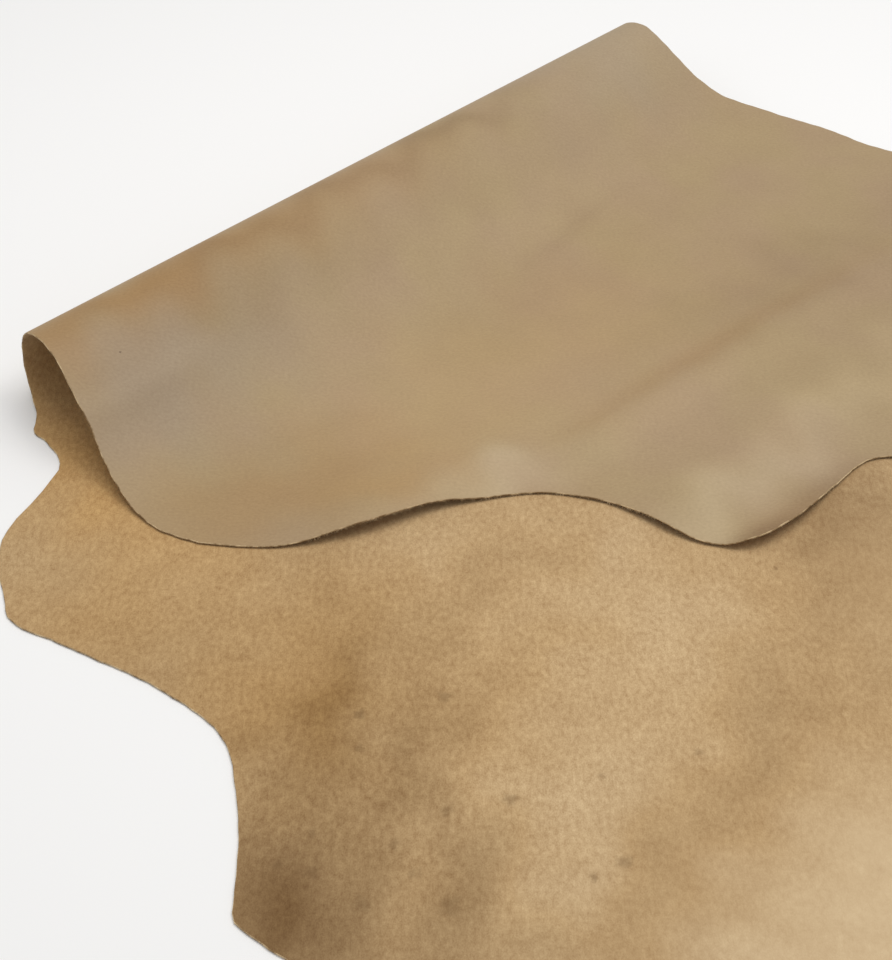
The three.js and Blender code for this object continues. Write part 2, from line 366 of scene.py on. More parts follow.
@dataclass(frozen=True)
class StainsAndPaintedLight:
    """The paler, warmer and rougher places of the hide, and painted shade and highlights on its folds, as
    soft patches. Lengths in millimetres.
    """

    streak_width: float = 14.0
    streak_sway: float = 0.15

    flesh_tone_and_painted_shade: ClassVar[list[Patch]] = [
        Patch("pale middle", -70, -560, 130, 60, 40, 0.12),
        Patch("pale middle, front", 20, -590, 60, 22, 10, 0.10),
        Patch("pale right of the middle", 5, -555, 45, 40, -40, 0.13),
        Patch("pale behind the step", -75, -405, 50, 30, 20, 0.11),
        Patch("pale under the flap", 28, -486, 30, 24, 0, 0.13),
        Patch("pale front", -165, -597, 70, 36, -30, 0.13),
        Patch("pale front, right", -72, -708, 60, 32, 0, 0.08),
        Patch("pale belly", -95, -780, 160, 70, -20, 0.30),
        Patch("dark shank corner", -336, -556, 60, 38, -80, -0.55),
        Patch("dark shank", -262, -492, 80, 42, 30, -0.24),
        Patch("dark shank side", -300, -535, 36, 62, 0, -0.20),
        Patch("dark shank middle", -250, -528, 46, 28, 0, -0.15),
        Patch("dark shank front", -258, -614, 56, 28, 10, -0.20),
        Patch("dark hollow", -196, -452, 66, 30, 30, -0.36),
        Patch("dark streak", -192, -520, 60, 22, 32, -0.22),
        Patch("dark streak, front", -215, -570, 72, 22, 53, -0.20),
        Patch("dim bay", -170, -392, 66, 34, 15, -0.20),
        Patch("dim behind the hollow", -205, -443, 70, 18, 0, -0.26),
        Patch("dim near edge", -244, -320, 50, 110, 0, -0.19),
        # dim by the mouth and dim mouth are painted shade by the open near end of the fold.
        Patch("dim by the mouth", -120, -325, 60, 60, 0, -0.08),
        Patch("dim mouth", -168, -155, 46, 60, 0, -0.10),
        Patch("dim middle", -112, -452, 60, 28, 20, -0.13),
        Patch("dim middle, front", -68, -517, 42, 18, 0, -0.13),
        Patch("dim by the flap", -28, -458, 75, 22, -35, -0.11),
        Patch("pale by the step", 178, -490, 42, 22, 0, 0.10),
        # dark by the step and dim before the step are a painted shadow along the flap's front edge.
        Patch("dark by the step", 186, -562, 46, 24, 0, -0.22),
        Patch("dim before the step", 112, -584, 44, 16, 0, -0.17),
        Patch("dark band, end", 165, -598, 60, 45, -20, -0.20),
        Patch("dark band, upper", 88, -622, 70, 38, -30, -0.12),
        Patch("dark band, right", 48, -668, 34, 20, 0, -0.11),
        Patch("dark band, middle", -22, -642, 70, 32, 50, -0.14),
        Patch("dark band, lower", -132, -666, 90, 24, 10, -0.17),
        Patch("pale front, near", -196, -640, 34, 18, 0, 0.12),
        Patch("dim front", -170, -706, 42, 26, 0, -0.09),
        Patch("dark front", -248, -664, 32, 40, 0, -0.12),
    ]
    grain_tone_and_painted_light: ClassVar[list[Patch]] = [
        # warm brow, dim crown and dim crown, far are painted shade: the crown darker where little light and
        # sheen reach it.
        Patch("warm brow", -40, 0, 170, 40, 0, -0.09),
        Patch("dim crown", 130, 2, 260, 17, 0, -0.14),
        Patch("dim crown, far", 276, 0, 60, 15, 0, -0.12),
        Patch("dim brow", 15, 42, 60, 34, 0, -0.10),
        # dull near end is painted shade: the slope darker towards the near end.
        Patch("dull near end", -95, 70, 60, 60, 0, -0.05),
        # pale slope is a painted highlight: the sheen on the far part of the slope.
        Patch("pale slope", 280, 92, 220, 34, 0, 0.07),
        Patch("dull sweep", -100, 210, 80, 60, 10, -0.11),
        Patch("pale foot", 40, 175, 60, 52, 0, 0.09),
        Patch("pale flap", 90, 250, 210, 75, 5, 0.11),
        # pale lip is a painted highlight where the flap falls from the raised lip to its edge.
        Patch("pale lip", 22, 299, 48, 16, 28, 0.26),
        Patch("dull before the crease", 330, 288, 165, 38, 5, -0.11),
        # crease shade and crease light are painted shade and painted light on the two sides of the crease
        # ridge; slope crease shade is painted shade by the slope crease.
        Patch("crease shade", 248, 311, 165, 9, 4.5, -0.09),
        Patch("crease light", 165, 335, 130, 13, 4.5, 0.07),
        Patch("slope crease shade", 290, 130, 66, 7, -6, -0.07),
        Patch("dim before the lip", 8, 334, 38, 18, 15, -0.16),
        Patch("dull near point", -55, 384, 50, 16, 10, -0.12),
        # pale roll and pale crest are painted highlights on the front roll's face that falls towards the
        # valley.
        Patch("pale roll", 190, 418, 160, 22, 2, 0.18),
        Patch("pale crest", 96, 430, 52, 17, 6, 0.17),
        # dull valley, near, dull valley and dull valley, far are painted shade where the flap rises to its
        # turned-up edge.
        Patch("dull valley, near", 74, 453, 26, 9, 16, -0.18),
        Patch("dull valley", 98, 466, 48, 12, 8, -0.34),
        Patch("dull valley, far", 172, 464, 42, 13, 4, -0.26),
        Patch("dull far end", 400, 330, 150, 70, 0, -0.06),
        # pale far crown is a painted highlight: the sheen on the far end of the crown.
        Patch("pale far crown", 470, 10, 110, 50, 0, 0.08),
    ]
    pebbled: ClassVar[list[Patch]] = [
        Patch("pebbled shank", -270, -500, 100, 55, -50, 1.0),
        Patch("pebbled hollow", -195, -470, 80, 45, -50, 0.8),
        Patch("pebbled front", -230, -580, 90, 60, -30, 0.5),
    ]
    # Warmth is the leather's own warmer colour on the flat parts and the crown; its minus side, the cool
    # patches, greys the grain as a painted sheen on the slopes, the crest, the lip and the far crown.
    warmth_and_painted_light: ClassVar[list[Patch]] = [
        Patch("warm crown", 0, 0, 240, 34, 0, 1.0),
        Patch("warm near crown", -70, -6, 90, 22, 0, 0.5),
        Patch("warm near sweep", -90, 200, 110, 50, 20, 0.8),
        Patch("warm before the lip", -20, 250, 60, 22, 20, 0.4),
        Patch("warm middle", 200, 225, 130, 90, 0, 0.4),
        Patch("warm foot", 50, 200, 110, 80, 0, 0.3),
        Patch("warm near point", -20, 350, 90, 60, 0, 0.4),
        # warm valley is the warmer colour of the painted shade there.
        Patch("warm valley", 120, 464, 70, 13, 8, 0.4),
        # warm crease is the warmer colour of the painted shade in the crease.
        Patch("warm crease", 248, 311, 165, 11, 4.5, 0.35),
        # cool crest greys the crest as a painted sheen.
        Patch("cool crest", 140, 426, 110, 20, 3, -0.3),
        # cool near slope greys the near slope as a painted sheen.
        Patch("cool near slope", -80, 70, 90, 42, 0, -0.9),
        # cool lip greys the lip as a painted sheen.
        Patch("cool lip", 22, 297, 50, 20, 28, -0.6),
        # cool far crown greys the far crown as a painted sheen.
        Patch("cool far crown", 470, 10, 120, 60, 0, -0.8),
    ]
    napped: ClassVar[list[Patch]] = [
        Patch("brushed flat belly", -70, -780, 210, 95, -20, -0.75),
        Patch("brushed flat side", 150, -640, 90, 60, 0, -0.45),
    ]
    flesh_warmth_and_shade: ClassVar[list[Patch]] = [
        # warm mouth is the warmer colour of the painted shade in the fold's mouth; the other warm patches are
        # the leather's own colour.
        Patch("warm mouth", -150, -170, 60, 120, 0, 1.3),
        Patch("warm near lobe", -240, -290, 70, 70, 0, 0.55),
        Patch("warm hollow", -200, -420, 90, 60, 20, 0.55),
        Patch("warm floor middle", -90, -540, 260, 190, -30, 0.36),
    ]

    def mark(self, mesh: bpy.types.Mesh, on_leather: np.ndarray) -> None:
        """Writes the tones onto a mesh, one attribute for each list of patches.

        Args:
            mesh: the sheet's mesh.
            on_leather: the place (along, run) of each of its points.
        """
        for name in ("flesh_tone_and_painted_shade", "grain_tone_and_painted_light", "pebbled", "warmth_and_painted_light", "napped", "flesh_warmth_and_shade"):
            tone = self.tone(getattr(self, name), on_leather[:, 0], on_leather[:, 1])
            attribute = mesh.attributes.new(name, "FLOAT", "POINT")
            attribute.data.foreach_set("value", tone.astype(np.float32))

    def tone(self, patches: list[Patch], along: np.ndarray, run: np.ndarray) -> np.ndarray:
        """Adds up patches: narrow streaks run nearly straight, and wide patches have ragged edges.

        Args:
            patches: the patches to add.
            along: places along the fold.
            run: places over the fold.

        Returns:
            The tone at each place, 0 where there is no patch.
        """
        tone = np.zeros_like(along)
        swerve_along, swerve_run = self.swerve(along, run)
        for patch in patches:
            turn = math.radians(patch.turn)
            sway = self.streak_sway if patch.width < self.streak_width else 1.0
            east = along + sway * swerve_along - patch.along
            north = run + sway * swerve_run - patch.run
            long_way = (east * math.cos(turn) + north * math.sin(turn)) / patch.length
            short_way = (north * math.cos(turn) - east * math.sin(turn)) / patch.width
            tone = tone + patch.tone * np.exp(-(long_way**2 + short_way**2))
        return tone

    @staticmethod
    def swerve(along: np.ndarray, run: np.ndarray) -> tuple[np.ndarray, np.ndarray]:
        """Gives how far the edge of a wide patch strays at each place.

        Args:
            along: places along the fold.
            run: places over the fold.

        Returns:
            How far it strays along the fold, and how far over it.
        """
        aside = 9 * np.sin(run / 17 + along / 41) + 6 * np.sin(run / 7.9 - along / 23 + 1.7)
        onwards = 9 * np.sin(along / 19 - run / 37 + 0.6) + 6 * np.sin(along / 8.7 + run / 29)
        return aside, onwards


def smooth_by_angle(piece: bpy.types.Object, angle: float) -> None:
    """Shades a piece smooth, but for edges sharper than an angle in degrees.

    Args:
        piece: the piece to shade.
        angle: the sharpest angle that stays smooth.
    """
    bpy.ops.object.select_all(action="DESELECT")
    piece.select_set(True)
    bpy.context.view_layer.objects.active = piece
    bpy.ops.object.shade_smooth_by_angle(angle=math.radians(angle))
    piece.select_set(False)


class Sockets:
    """Adds and joins the nodes of one material or one node group."""

    def __init__(self, tree: Tree) -> None:
        """Keeps the tree that the nodes go into."""
        self.tree = tree

    def add(self, kind: str, **inputs: object) -> bpy.types.Node:
        """Adds a node and fills its inputs.

        Args:
            kind: the node's type.
            **inputs: values or sockets, by input name with _ for a space, or i0, i1 for a numbered input.

        Returns:
            The node.
        """
        node = self.tree.nodes.new(kind)
        self.fill_all(node, **inputs)
        return node

    def add_group(self, group: Tree, **inputs: object) -> bpy.types.Node:
        """Adds a node group and fills its inputs.

        Args:
            group: the group.
            **inputs: values or sockets, by input name.

        Returns:
            The group's node.
        """
        node = self.tree.nodes.new("ShaderNodeGroup")
        node.node_tree = group
        self.fill_all(node, **inputs)
        return node

    def fill_all(self, node: bpy.types.Node, **inputs: object) -> None:
        """Fills some inputs of a node.

        Args:
            node: the node.
            **inputs: values or sockets, named as in add.
        """
        for name, value in inputs.items():
            numbered = name[0] == "i" and name[1:].isdigit()
            socket = node.inputs[int(name[1:])] if numbered else node.inputs[name.replace("_", " ")]
            self.fill(socket, value)

    def fill(self, socket: Socket, value: object) -> None:
        """Links a socket into an input, or sets the input to a value.

        Args:
            socket: the input.
            value: the socket, the number or the colour that goes into it.
        """
        if isinstance(value, Socket):
            self.tree.links.new(value, socket)
        elif isinstance(value, tuple) and socket.type == "RGBA":
            socket.default_value = (*value, 1.0)
        else:
            socket.default_value = value

    def math(self, operation: str, a: object, b: object, clamp: bool = False) -> Socket:
        """Does arithmetic on two numbers.

        Args:
            operation: the Math node's operation.
            a: the first number.
            b: the second one.
            clamp: whether the result is held from 0 to 1.

        Returns:
            The result.
        """
        node = self.add("ShaderNodeMath", i0=a, i1=b)
        node.operation = operation
        node.use_clamp = clamp
        return node.outputs[0]

    def grade(self, value: object, low: float, high: float, to_low: float, to_high: float) -> Socket:
        """Maps a value softly from one range to another, and holds it there.

        Args:
            value: the value.
            low: where its range starts.
            high: where its range ends.
            to_low: the result at low.
            to_high: the result at high.

        Returns:
            The result.
        """
        node = self.add("ShaderNodeMapRange", i0=value, i1=low, i2=high, i3=to_low, i4=to_high)
        node.interpolation_type = "SMOOTHSTEP"
        return node.outputs[0]

    def mix(self, share: object, a: object, b: object) -> Socket:
        """Mixes two colours.

        Args:
            share: how much of the second colour there is, 0 to 1.
            a: the first colour.
            b: the second colour.

        Returns:
            The mixed colour.
        """
        node = self.tree.nodes.new("ShaderNodeMix")
        node.data_type = "RGBA"
        self.fill(node.inputs[0], share)
        self.fill(node.inputs[6], a)
        self.fill(node.inputs[7], b)
        return node.outputs[2]

    def brighten(self, tint: object, tone: object, bias: float = 0.0) -> Socket:
        """Makes a colour lighter or darker by a tone around 0.

        Args:
            tint: the colour.
            tone: the tone, plus for lighter.
            bias: how much more of the tone goes to blue than to green, and to green than to red.

        Returns:
            The new colour.
        """
        shares = (1.0 - bias, 1.0, 1.0 + bias)
        red, green, blue = (self.math("ADD", 1.0, self.math("MULTIPLY", tone, share)) for share in shares)
        factor = self.add("ShaderNodeCombineXYZ", X=red, Y=green, Z=blue)
        node = self.add("ShaderNodeVectorMath", i0=tint, i1=factor.outputs[0])
        node.operation = "MULTIPLY"
        return node.outputs[0]


def new_group(
    name: str, inputs: dict[str, str], outputs: dict[str, str]
) -> tuple[Tree, Sockets, bpy.types.Node, bpy.types.Node]:
    """Starts a shader node group with named sockets.

    Args:
        name: the group's name.
        inputs: the socket type of each input, by name.
        outputs: the socket type of each output, by name.

    Returns:
        The group, its node maker, its input node and its output node.
    """
    tree = bpy.data.node_groups.new(name, "ShaderNodeTree")
    for label, kind in inputs.items():
        tree.interface.new_socket(label, in_out="INPUT", socket_type=kind)
    for label, kind in outputs.items():
        tree.interface.new_socket(label, in_out="OUTPUT", socket_type=kind)
    return tree, Sockets(tree), tree.nodes.new("NodeGroupInput"), tree.nodes.new("NodeGroupOutput")


class LeatherEffects:
    """The node groups that more than one finish of the hide uses."""

    def __init__(self) -> None:
        """Builds each group once."""
        self.cloud = self.build_cloud()
        self.nap = self.build_nap()
        self.speck = self.build_speck()

    @staticmethod
    def build_cloud() -> Tree:
        """Builds soft cloudy unevenness around 0.

        Returns:
            The group. Its Size is in metres.
        """
        inputs = {"Place": VECTOR, "Size": FLOAT, "Detail": FLOAT, "Contrast": FLOAT}
        tree, make, given, out = new_group("cloudy tone", inputs, {"Tone": FLOAT})
        scale = make.math("DIVIDE", 1.0, given.outputs["Size"])
        noise = make.add(
            "ShaderNodeTexNoise", Vector=given.outputs["Place"], Scale=scale,
            Detail=given.outputs["Detail"], Roughness=0.55,
        )
        centred = make.math("SUBTRACT", noise.outputs[0], 0.5)
        doubled = make.math("MULTIPLY", centred, 2.0)
        make.fill_all(out, Tone=make.math("MULTIPLY", doubled, given.outputs["Contrast"]))
        return tree

    @staticmethod
    def build_nap() -> Tree:
        """Builds the short fibres of a flesh side or a cut edge.

        Returns:
            The group. Its Fibre is their width in metres.
        """
        inputs = {"Place": VECTOR, "Fibre": FLOAT}
        tree, make, given, out = new_group("short nap", inputs, {"Height": FLOAT, "Tone": FLOAT})
        place = given.outputs["Place"]
        scale = make.math("DIVIDE", 1.0, given.outputs["Fibre"])
        fine = make.add("ShaderNodeTexNoise", Vector=place, Scale=scale, Detail=3.0, Roughness=0.6)
        coarse_scale = make.math("MULTIPLY", scale, 0.3)
        coarse = make.add("ShaderNodeTexNoise", Vector=place, Scale=coarse_scale, Detail=2.0)
        height = make.math("ADD", fine.outputs[0], make.math("MULTIPLY", coarse.outputs[0], 0.8))
        make.fill_all(out, Height=height, Tone=make.math("SUBTRACT", height, 0.9))
        return tree

    @staticmethod
    def build_speck() -> Tree:
        """Builds one small ragged mark around a centre.

        Returns:
            The group. Its lengths are in metres.
        """
        inputs = {"Place": VECTOR, "Centre": VECTOR, "Radius": FLOAT}
        tree, make, given, out = new_group("ragged speck", inputs, {"Mask": FLOAT})
        rag_scale = make.math("DIVIDE", 0.9, given.outputs["Radius"])
        rag = make.add("ShaderNodeTexNoise", Vector=given.outputs["Place"], Scale=rag_scale, Detail=3.0)
        away = make.add("ShaderNodeVectorMath", i0=given.outputs["Place"], i1=given.outputs["Centre"])
        away.operation = "DISTANCE"
        relative = make.math("DIVIDE", away.outputs["Value"], given.outputs["Radius"])
        stray = make.math("MULTIPLY", make.math("SUBTRACT", rag.outputs[0], 0.5), 2.6)
        ragged = make.math("ADD", relative, stray)
        make.fill_all(out, Mask=make.grade(ragged, 0.1, 1.35, 1.0, 0.0))
        return tree


@dataclass(frozen=True)
class Finish:
    """What the finishes of the hide have in common."""

    name: str

    def start(self) -> tuple[bpy.types.Material, Sockets, bpy.types.Node]:
        """Starts a material.

        Returns:
            The material, its node maker and its shader.
        """
        material = bpy.data.materials.new(self.name)
        material.use_nodes = True
        return material, Sockets(material.node_tree), material.node_tree.nodes["Principled BSDF"]

    @staticmethod
    def leather_place(make: Sockets) -> Socket:
        """Reads the place on the leather.

        Args:
            make: the material's node maker.

        Returns:
            The place (along, run) in metres.
        """
        node = make.tree.nodes.new("ShaderNodeUVMap")
        node.uv_map = LEATHER_MAP
        return node.outputs[0]

    @staticmethod
    def brushed(make: Sockets, place: Socket, turn: float, stretch: float) -> Socket:
        """Draws the place out one way, so that what is grown on it looks brushed.

        Args:
            make: the material's node maker.
            place: the place on the leather.
            turn: the way of the brushing, in degrees from the fold.
            stretch: how many times longer the marks get that way.

        Returns:
            The drawn-out place.
        """
        node = make.add("ShaderNodeMapping", Vector=place)
        node.vector_type = "TEXTURE"
        node.inputs["Rotation"].default_value = (0.0, 0.0, math.radians(turn))
        node.inputs["Scale"].default_value = (stretch, 1.0, 1.0)
        return node.outputs[0]

    @staticmethod
    def painted(make: Sockets, name: str) -> Socket:
        """Reads a tone that the hide carries at its points.

        Args:
            make: the material's node maker.
            name: the tone's name.

        Returns:
            The tone.
        """
        node = make.tree.nodes.new("ShaderNodeAttribute")
        node.attribute_name = name
        return node.outputs["Fac"]

    @staticmethod
    def cloudy(make: Sockets, effects: LeatherEffects, place: Socket, cloud: Cloud) -> Socket:
        """Gives cloudy unevenness around 0."""
        sizes = {"Size": cloud.size, "Detail": cloud.detail, "Contrast": cloud.contrast}
        return make.add_group(effects.cloud, Place=place, **sizes).outputs[0]

    @staticmethod
    def marked(
        make: Sockets, effects: LeatherEffects, place: Socket, tint: Socket, specks: list[Speck], dark: Colour
    ) -> Socket:
        """Puts small marks on a colour.

        Args:
            make: the material's node maker.
            effects: the shared node groups.
            place: the place on the leather.
            tint: the colour without the marks.
            specks: the marks.
            dark: the marks' own colour.

        Returns:
            The colour with the marks.
        """
        for speck in specks:
            centre = (speck.along * MM, speck.run * MM, 0.0)
            mask = make.add_group(effects.speck, Place=place, Centre=centre, Radius=speck.radius * MM)
            tint = make.mix(make.math("MULTIPLY", mask.outputs[0], speck.depth), tint, dark)
        return tint


@dataclass(frozen=True)
class GrainFinish(Finish):
    """The smooth satin side of the hide, with a few marks."""

    name: str = "leather_grain"
    taupe: Colour = colour(165, 142, 105)
    rosy: Colour = colour(164, 139, 107)
    warm: Colour = colour(168, 134, 87)
    # A greyish tan that paints sheen on the grain where it faces the light.
    painted_sheen: Colour = colour(160, 142, 118)
    umber: Colour = colour(96, 74, 52)
    warm_share: float = 0.7
    painted_sheen_share: float = 0.8
    dark_warmth: float = 0.15
    brush_turn: float = 43.0
    brush_stretch: float = 1.4
    roughness: float = 0.56
    shine: float = 0.42
    pore_scale: float = 1500.0
    broad: Cloud = Cloud(0.11, 2.0, 1.0)
    middling: Cloud = Cloud(0.03, 3.0, 0.055)
    spotty: Cloud = Cloud(0.0045, 2.0, 0.045)
    fine: Cloud = Cloud(0.0017, 3.0, 0.2)
    gloss: Cloud = Cloud(0.045, 2.0, 0.05)
    creases: Cloud = Cloud(0.004, 4.0, 0.5)

    specks: ClassVar[list[Speck]] = [
        Speck(-100, 37, 1.1, 0.8),
        Speck(60, 60, 0.8, 0.4),
    ]

    def material(self, effects: LeatherEffects) -> bpy.types.Material:
        """Builds the grain side's material.

        Args:
            effects: the shared node groups.

        Returns:
            The material.
        """
        material, make, shader = self.start()
        place = self.leather_place(make)
        laid = self.brushed(make, place, self.brush_turn, self.brush_stretch)
        broad = self.cloudy(make, effects, place, self.broad)
        middling = self.cloudy(make, effects, place, self.middling)
        spotty = self.cloudy(make, effects, laid, self.spotty)
        fine = self.cloudy(make, effects, laid, self.fine)
        tint = make.mix(make.grade(broad, -0.35, 0.35, 0.0, 1.0), self.taupe, self.rosy)
        # Warmth warms the leather's own colour, and its minus side greys it towards a painted sheen.
        warmth_and_painted_light = self.painted(make, "warmth_and_painted_light")
        tint = make.mix(make.math("MULTIPLY", warmth_and_painted_light, self.warm_share, True), tint, self.warm)
        tint = make.mix(make.math("MULTIPLY", warmth_and_painted_light, -self.painted_sheen_share, True), tint, self.painted_sheen)
        small = make.math("ADD", spotty, fine)
        # The grain tone is the leather's own variation together with painted shade and painted highlights on
        # the fold, its ridges and its valley.
        tone = make.math("ADD", self.painted(make, "grain_tone_and_painted_light"), make.math("ADD", middling, small))
        tint = make.brighten(tint, tone, self.dark_warmth)
        tint = self.marked(make, effects, place, tint, self.specks, self.umber)
        gloss = self.cloudy(make, effects, place, self.gloss)
        pores = make.add("ShaderNodeTexVoronoi", Vector=place, Scale=self.pore_scale)
        creases = self.cloudy(make, effects, place, self.creases)
        height = make.math("ADD", make.math("MULTIPLY", pores.outputs[0], 0.5), creases)
        bump = make.add("ShaderNodeBump", Strength=0.2, Distance=0.0002, Height=height)
        roughness = make.math("ADD", self.roughness, gloss)
        make.fill_all(shader, Base_Color=tint, Roughness=roughness, Specular_IOR_Level=self.shine)
        make.fill(shader.inputs["Normal"], bump.outputs[0])
        return material


@dataclass(frozen=True)
class FleshFinish(Finish):
    """The napped suede side of the hide, with its mottling and its marks."""

    name: str = "leather_flesh"
    tan: Colour = colour(178, 147, 106)
    pale: Colour = colour(192, 163, 122)
    umber: Colour = colour(112, 84, 52)
    warm: Colour = colour(190, 148, 90)
    cream: Colour = colour(226, 204, 168)
    umber_share: float = 1.45
    cream_share: float = 1.6
    warm_share: float = 0.6
    nap_share: float = 0.85
    dark_warmth: float = 0.22
    brush_turn: float = 43.0
    brush_stretch: float = 1.45
    fibre_width: float = 0.0009
    pebble_height: float = 6.0
    roughness: float = 0.93
    shine: float = 0.2
    sheen: float = 0.12
    sheen_roughness: float = 0.5
    broad: Cloud = Cloud(0.09, 4.0, 1.0)
    blotchy: Cloud = Cloud(0.02, 3.0, 0.18)
    mottled: Cloud = Cloud(0.0045, 4.0, 0.2)
    pebbles: Cloud = Cloud(0.0055, 5.0, 0.3)

    specks: ClassVar[list[Speck]] = [
        Speck(-179, -578, 4.8, 0.42),
        Speck(-169, -651, 4.8, 0.42),
        Speck(-188, -646, 3.0, 0.45),
        Speck(-209, -557, 4.5, 0.4),
        Speck(-246, -552, 4.0, 0.35),
        Speck(-252, -574, 4.0, 0.35),
        Speck(-192, -471, 4.0, 0.45),
        Speck(-210, -489, 3.2, 0.35),
        Speck(-271, -514, 3.4, 0.4),
        Speck(-290, -534, 4.4, 0.45),
        Speck(-299, -516, 3.6, 0.5),
        Speck(-286, -568, 5.2, 0.4),
        Speck(-254, -602, 6.4, 0.4),
        Speck(-147, -497, 4.8, 0.35),
        Speck(-78, -633, 3.4, 0.3),
        Speck(-130, -604, 2.8, 0.3),
        Speck(80, -575, 2.0, 0.45),
        Speck(17, -439, 2.4, 0.25),
    ]

    def material(self, effects: LeatherEffects) -> bpy.types.Material:
        """Builds the flesh side's material.

        Args:
            effects: the shared node groups.

        Returns:
            The material.
        """
        material, make, shader = self.start()
        place = self.leather_place(make)
        laid = self.brushed(make, place, self.brush_turn, self.brush_stretch)
        broad = self.cloudy(make, effects, place, self.broad)
        blotchy = self.cloudy(make, effects, place, self.blotchy)
        mottled = self.cloudy(make, effects, laid, self.mottled)
        pebbles = self.cloudy(make, effects, laid, self.pebbles)
        nap = make.add_group(effects.nap, Place=laid, Fibre=self.fibre_width)
        tint = make.mix(make.grade(broad, -0.5, 0.5, 0.2, 0.8), self.tan, self.pale)
        # The flesh tone is the leather's own stains together with painted shade by the fold's mouth and a
        # painted shadow by the flap's front edge.
        stains_and_shade = self.painted(make, "flesh_tone_and_painted_shade")
        tint = make.mix(make.math("MULTIPLY", stains_and_shade, -self.umber_share, True), tint, self.umber)
        tint = make.mix(make.math("MULTIPLY", stains_and_shade, self.cream_share, True), tint, self.cream)
        # Flesh warmth is the leather's own warmer colour, and the warm colour of the painted shade in the
        # fold's mouth.
        warmth_and_painted_light = make.math("MULTIPLY", self.painted(make, "flesh_warmth_and_shade"), self.warm_share, True)
        tint = make.mix(warmth_and_painted_light, tint, self.warm)
        pebbled = make.math("MULTIPLY", pebbles, self.painted(make, "pebbled"))
        napped = make.math("ADD", 1.0, self.painted(make, "napped"))
        rough = make.math("ADD", mottled, make.math("MULTIPLY", nap.outputs["Tone"], self.nap_share))
        tone = make.math("ADD", make.math("ADD", blotchy, pebbled), make.math("MULTIPLY", rough, napped))
        tint = make.brighten(tint, tone, self.dark_warmth)
        tint = self.marked(make, effects, place, tint, self.specks, self.umber)
        make.fill_all(shader, Base_Color=tint, Roughness=self.roughness, Specular_IOR_Level=self.shine)
        make.fill_all(shader, Sheen_Weight=self.sheen, Sheen_Roughness=self.sheen_roughness)
        lifted = make.math("MULTIPLY", nap.outputs["Height"], napped)
        height = make.math("ADD", lifted, make.math("MULTIPLY", pebbled, self.pebble_height))
        bump = make.add("ShaderNodeBump", Strength=0.5, Distance=0.0004, Height=height)
        make.fill(shader.inputs["Normal"], bump.outputs[0])
        return material


@dataclass(frozen=True)
class CutFinish(Finish):
    """The raw cut edge of the hide and the loose fibres on it."""

    name: str = "leather_cut_edge"
    core: Colour = colour(204, 180, 142)
    dark: Colour = colour(136, 110, 78)
    nap_share: float = 0.9
    dark_warmth: float = 0.2
    fibre_width: float = 0.0005
    roughness: float = 0.95
    shine: float = 0.15
    broad: Cloud = Cloud(0.008, 4.0, 1.0)

    def material(self, effects: LeatherEffects) -> bpy.types.Material:
        """Builds the cut edge's material.

        Args:
            effects: the shared node groups.

        Returns:
            The material.
        """
        material, make, shader = self.start()
        place = make.tree.nodes.new("ShaderNodeTexCoord").outputs["Object"]
        nap = make.add_group(effects.nap, Place=place, Fibre=self.fibre_width)
        broad = self.cloudy(make, effects, place, self.broad)
        tint = make.mix(make.grade(broad, -0.35, 0.35, 0.0, 1.0), self.dark, self.core)
        tone = make.math("MULTIPLY", nap.outputs["Tone"], self.nap_share)
        tint = make.brighten(tint, tone, self.dark_warmth)
        make.fill_all(shader, Base_Color=tint, Roughness=self.roughness, Specular_IOR_Level=self.shine)
        bump = make.add("ShaderNodeBump", Strength=0.6, Distance=0.0002, Height=nap.outputs["Height"])
        make.fill(shader.inputs["Normal"], bump.outputs[0])
        return material


